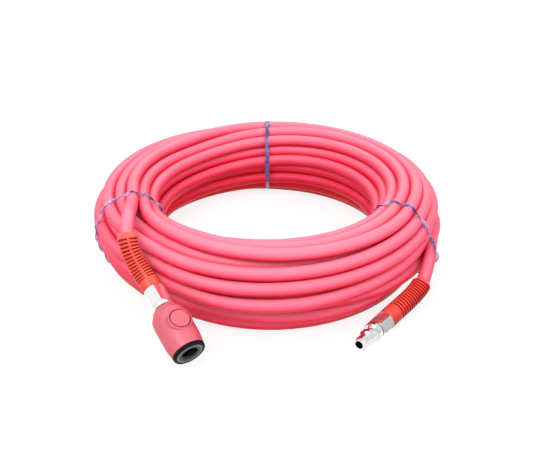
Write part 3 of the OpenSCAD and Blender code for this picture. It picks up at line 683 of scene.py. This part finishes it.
def lay_hose():
    """The coil's centre line, in the coil's frame. Every turn starts near its place and wanders a little; then
    turns that overlap push each other away, over a set number of steps."""
    count = int((TURNS - 1) * SLICES + (END_TURN_AZ - START_AZ) / 360 * SLICES) + 1
    k = np.arange(count)
    az = START_AZ + (k % SLICES) * 360 / SLICES
    goal = np.array([goal_at(t, a) for t, a in zip(k // SLICES, az)])
    rng = np.random.default_rng(7)
    loose = smooth(np.minimum(k, count - 1 - k) / LOOSE_FROM)[:, None]
    goal = goal + sum(wander(count, step, rng) for step in WANDER_STEPS) * WANDER * loose
    at = goal.copy()
    tied = np.max([hump(az, tie, TIE_FLAT, TIE_FADE) for tie in TIE_AZ.values()], axis=0)
    floor = HOSE_R - MID_Z + TIE_LIFT * tied
    padded = np.full((TURNS * SLICES, 2), np.nan)
    ends = passing_ends()
    upper = np.triu(np.ones((TURNS, TURNS), bool), 1)
    for step in range(SETTLE_STEPS):
        draw = DRAW * (1 - step / SETTLE_STEPS) ** 2
        at += (goal - at) * np.maximum(draw, 1 - loose)
        at[1:-1] += EASE * ((at[:-2] + at[2:]) / 2 - at[1:-1])
        for _ in range(PUSHES):
            padded[:count] = at
            grid = padded.reshape(TURNS, SLICES, 2)
            way, far = way_and_far(grid[:, None] - grid[None, :])
            short = np.where((far < APART) & upper[..., None], APART - far, 0)
            push = np.nan_to_num(way) * short[..., None] * PUSH
            move = push.sum(1) - push.sum(0)
            way, far = way_and_far(grid[:, None] - ends[None, ..., :2])
            short = np.maximum(CLEAR + ends[None, ..., 2] - far, 0)
            move += np.nan_to_num(way * short[..., None]).sum(1)
            at += move.reshape(-1, 2)[:count] * loose
        at = kept_in(at, az)
        at[:, 1] = np.maximum(at[:, 1], floor)
    return at, az


def build_hose(finishes):
    """The whole hose as one tube, with its bore open a short way in at both ends."""
    at, az = lay_hose()
    r, a = COIL_R + at[:, 0], np.radians(az)
    line = np.stack([r * np.cos(a), r * np.sin(a), MID_Z + at[:, 1]], 1)
    plug_end, socket_end = end_paths()
    path = np.concatenate([plug_end[::-1], line, socket_end])
    frames = carried_frames(path)
    outside = rings(path, frames, HOSE_R, HOSE_SIDES)
    inside = rings(path, frames, HOSE_BORE_R, HOSE_SIDES)
    along = run_along(path)
    loops = np.concatenate([inside[along < BORE_DEPTH][::-1], outside,
                            inside[along > along[-1] - BORE_DEPTH][::-1]])
    points = loops.reshape(-1, 3)
    faces = [tuple(f) for f in skin(HOSE_SIDES, len(loops))]
    faces.append(tuple(range(HOSE_SIDES))[::-1])
    faces.append(tuple(range(len(points) - HOSE_SIDES, len(points))))
    hose = mesh_object("hose", points + np.array(COIL_AT), faces,
                       finishes["hose_soft"])
    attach(hose, "hose")
    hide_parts("hose_core", "hose_coil", "hose_end_socket", "hose_end_plug")
    return hose, path + np.array(COIL_AT), at, az


# ---------------------------------------------------------------- the ties
# Their width, thickness, half turns of the film on its way round, and how far it wanders
TIES = {
    "tie_left": (2.8 * MM, 0.5 * MM, 15, 0.5 * MM),
    "tie_back": (4.0 * MM, 0.35 * MM, 0, 0.2 * MM),
    "tie_right": (2.8 * MM, 0.5 * MM, 13, 0.3 * MM),
}
TIE_SLACK = 0.15 * MM
TIE_STEP = 0.6 * MM
TIE_REACH = 8 * MM
TIE_OFF_FLOOR = 0.1 * MM
TIE_NEAR = 1.5
FILM_CORNERS = [(-0.5, -0.3), (-0.42, -0.5), (0.42, -0.5), (0.5, -0.3),
                (0.5, 0.3), (0.42, 0.5), (-0.42, 0.5), (-0.5, 0.3)]


def hull(points):
    """The convex outline of flat points, anticlockwise."""
    points = sorted(map(tuple, points))

    def half(run):
        kept = []
        for p in run:
            while len(kept) > 1:
                (ax, ay), (bx, by) = kept[-2], kept[-1]
                if (bx - ax) * (p[1] - ay) - (by - ay) * (p[0] - ax) > 0:
                    break
                kept.pop()
            kept.append(p)
        return kept[:-1]
    return np.array(half(points) + half(points[::-1]))


def resampled(loop, step):
    """A closed loop of flat points, again with even steps."""
    loop = np.vstack([loop, loop[:1]])
    run = run_along(loop)
    count = int(run[-1] / step)
    at = np.arange(count) * run[-1] / count
    return np.stack([np.interp(at, run, loop[:, 0]), np.interp(at, run, loop[:, 1])], 1)


def build_tie(name, at, strand_az, finishes):
    """A film tie drawn tight round the strands at its azimuth."""
    az = TIE_AZ[name]
    width, thick, twists, sway = TIES[name]
    near = degrees_apart(strand_az, az) < 360 / SLICES / 2 + 0.01
    spots = [(COIL_R + p[0], MID_Z + p[1]) for p in at[near]]
    for path in end_paths():
        path_az = np.degrees(np.arctan2(path[:, 1], path[:, 0]))
        for i in np.nonzero(degrees_apart(path_az, az) < TIE_NEAR)[0]:
            if np.linalg.norm(path[i, :2]) < EDGE_R + TIE_REACH:
                spots.append((np.linalg.norm(path[i, :2]), path[i, 2]))
    a = np.linspace(0, 2 * pi, 33)[:-1]
    reach = HOSE_R + TIE_SLACK + thick / 2
    ring = reach * np.stack([np.cos(a), np.sin(a)], 1)
    loop = resampled(hull(np.concatenate([ring + s for s in spots])), TIE_STEP)
    count = len(loop)
    t = np.arange(count) / count * 2 * pi
    out, along = polar(1, az), round_way(az)
    path = out * loop[:, :1] + np.array([0, 0, 1]) * loop[:, 1:]
    path = path + along * (sway * np.sin(3 * t + az) + sway * 0.6 * np.sin(7 * t))[:, None]
    way = unit(np.roll(path, -1, axis=0) - np.roll(path, 1, axis=0))
    normal = unit(np.cross(way, along))
    side = np.cross(normal, way)
    turn = twists * t / 2 + 0.6 * np.sin(2 * t)
    lay = side * np.cos(turn)[:, None] + normal * np.sin(turn)[:, None]
    up = np.cross(lay, way)
    loops = np.stack([path + lay * width * x + up * thick * y for x, y in FILM_CORNERS], 1)
    points, faces = tube_mesh(loops)
    points[:, 2] = np.maximum(points[:, 2], TIE_OFF_FLOOR)
    finish = finishes["tie_film" if twists else "back_film"]
    tie = mesh_object(name + "_film", points + np.array(COIL_AT), faces, finish)
    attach(tie, "hose")
    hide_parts(name)
    return tie


# ---------------------------------------------------------------- the bend guards
GUARD_SLOTS = 14
GUARD_LIP = 4 * MM
GUARD_COLLAR = 7 * MM
GUARD_SLOT_R = 5.75 * MM
GUARD_BORE_R = 5.25 * MM
GUARD_SIDES = 72
SHARP_ANGLE = 40
# Where each guard's spines lie round it, in degrees, and half a spine's width and its edge's
# width, in radians
SOCKET_SPINES = 84
PLUG_SPINES = 120
SPINE_HALF = 0.12
SPINE_EDGE = 0.08
# The lip, as marks from the tip and what is left off the radius there
LIP_MARKS = [0, 1.2 * MM, 2.4 * MM, 3.5 * MM]
LIP_CUTS = [1.75 * MM, 1.0 * MM, 0.35 * MM, 0]
# One slot, as shares of the pitch and of its depth there
SLOT_FORM = ((0.0, 0), (0.05, 0.35), (0.1, 1), (0.4, 1), (0.45, 0.35), (0.5, 0))
# The collar, as marks from its end and what is left off the radius there
COLLAR_FORM = ((GUARD_COLLAR - 1 * MM, 0), (1 * MM, 0), (0.35 * MM, 0.2 * MM), (0, 0.7 * MM))


def build_guard(name, tip, tip_way, guard_at, way, pulls, spines, finish):
    """A soft sleeve with rows of slots on both sides of two spines."""
    span = np.linalg.norm(guard_at - tip) * (1 - GUARD_FROM)
    pitch = (span - GUARD_LIP - GUARD_COLLAR) / GUARD_SLOTS
    rows = [(mark, 0, cut) for mark, cut in zip(LIP_MARKS, LIP_CUTS)]
    rows += [(GUARD_LIP + (slot + share) * pitch, depth, 0)
             for slot in range(GUARD_SLOTS) for share, depth in SLOT_FORM]
    rows += [(span - back, 0, cut) for back, cut in COLLAR_FORM]
    marks, depths, cuts = np.array(rows).T
    path = bend(tip, tip_way, guard_at, way, pulls[2], pulls[3],
                GUARD_FROM + (1 - GUARD_FROM) * marks / span)
    frames = carried_frames(path)
    a = np.arange(GUARD_SIDES) * 2 * pi / GUARD_SIDES
    off_spine = np.abs((a - radians(spines) + pi / 2) % pi - pi / 2)
    slotted = smooth((off_spine - SPINE_HALF) / SPINE_EDGE)
    radii = (GUARD_R - cuts)[:, None] - (GUARD_R - GUARD_SLOT_R) * depths[:, None] * slotted
    outside = rings(path, frames, radii, GUARD_SIDES)
    inside = rings(path, frames, GUARD_BORE_R, GUARD_SIDES)[::-1]
    points, faces = tube_mesh(np.concatenate([outside, inside]))
    guard = mesh_object(name + "_sleeve", points + np.array(COIL_AT), faces,
                        finish)
    # The slot mask carries the painted shade and painted red of the slots into the guard's colour, and roughens
    # them; the lip mask tints the thin lip as pink as the hose.
    in_slot, in_lip = np.zeros((2, 2 * len(marks), GUARD_SIDES))
    in_slot[:len(marks)] = depths[:, None] * slotted
    in_lip[:len(marks)] = (1 - smooth(marks / GUARD_LIP))[:, None]
    for kind, values in (("slot", in_slot), ("lip", in_lip)):
        guard.data.attributes.new(kind, "FLOAT", "POINT").data.foreach_set("value", values.ravel())
    guard.data.shade_smooth()
    guard.data.set_sharp_from_angle(angle=radians(SHARP_ANGLE))
    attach(guard, "hose")
    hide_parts(name)
    return guard


# ---------------------------------------------------------------- the part
def dress_cad(finishes):
    """Every carried-over node gets its finish."""
    for part in frame["record"]["subparts"]:
        node = frame["nodes"][part["node"]]
        node.data.materials.clear()
        node.data.materials.append(finishes[part["material_slot"]])
    frame["nodes"]["valve_body"].data.materials[0] = finishes["mouth"]
    for name in ("socket_nut", "socket_adapter", "plug_nut"):
        frame["nodes"][name].data.materials[0] = finishes["nut_metal"]


def squash_springs():
    """Each spring that a joint deforms gets a mesh of its own; its length along the joint's axis is measured, but
    it is not shortened.
    """
    for joint in frame["joints"]:
        axis = np.array(joint["axis"])
        for part in joint.get("deforming_nodes", []):
            spring = frame["nodes"][part["node"]]
            along = [axis.dot(spring.matrix_world @ v.co) for v in spring.data.vertices]
            length = max(along) - min(along)
            tuple(axis * max(along))
            1 - (joint["range_m"][1] - joint["range_m"][0]) / length
            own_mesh(spring)


def make_floor():
    """A pale floor that looks white and keeps the shadow."""
    mesh = bpy.data.meshes.new("floor")
    corners = [(x * FLOOR_HALF, y * FLOOR_HALF, 0) for x, y in ((-1, -1), (1, -1), (1, 1), (-1, 1))]
    mesh.from_pydata(corners, [], [(0, 1, 2, 3)])
    floor = bpy.data.objects.new("floor", mesh)
    bpy.context.collection.objects.link(floor)
    shader = Shader("floor", base_color=(0.9, 0.9, 0.9), roughness=0.9)
    seen = shader.ray("Camera") + shader.ray("Glossy")
    glow = shader.node("ShaderNodeEmission", {}, {"Color": (1, 1, 1), "Strength": FLOOR_GLOW})
    both = shader.node("ShaderNodeMixShader", {}, {
        0: seen * FLOOR_GLOW_SHARE, 1: Link(shader, shader.body.outputs[0]), 2: glow})
    shader.fill(shader.tree.nodes["Material Output"].inputs["Surface"], both)
    mesh.materials.append(shader.material)


def make_sky():
    """A white sky. Bright metal sees it as a card that is dark near the floor."""
    world = bpy.data.worlds.new("world")
    bpy.context.scene.world = world
    world.use_nodes = True
    sky = Nodes(world.node_tree)
    ground = sky.tree.nodes["Background"]
    rise = sky.node("ShaderNodeSeparateXYZ", {}, {
        "Vector": sky.node("ShaderNodeTexCoord", output="Generated")}, output="Z")
    card = sky.ramp(rise, (0.0, (0.04, 0.04, 0.04)), (0.025, (0.3, 0.3, 0.3)),
                    (0.06, (1.15, 1.15, 1.15)), (1.0, (1.3, 1.3, 1.3)))
    sky.fill(ground.inputs["Color"], sky.mix(CARD_SHARE * sky.ray("Glossy"), (1, 1, 1), card))
    ground.inputs["Strength"].default_value = WORLD_STRENGTH


def make_stage():
    make_floor()
    make_sky()
    for name, lamp in LIGHTS.items():
        area_light(name, *lamp)


def main():
    bpy.context.scene.view_settings.view_transform = "Standard"
    make_camera()
    finishes = make_finishes()
    hose, path, at, az = build_hose(finishes)
    dress_cad(finishes)
    squash_springs()
    ties = [build_tie(name, at, az, finishes) for name in TIES]
    build_guard("socket_guard", SOCKET_TIP, SOCKET_TIP_WAY, SOCKET_GUARD_AT, SOCKET_WAY,
                SOCKET_PULLS, SOCKET_SPINES, finishes["guard_soft"])
    plug_guard = build_guard("plug_guard", PLUG_TIP, PLUG_TIP_WAY, PLUG_GUARD_AT, PLUG_WAY,
                             PLUG_PULLS, PLUG_SPINES, finishes["guard_shade"])
    make_stage()


main()
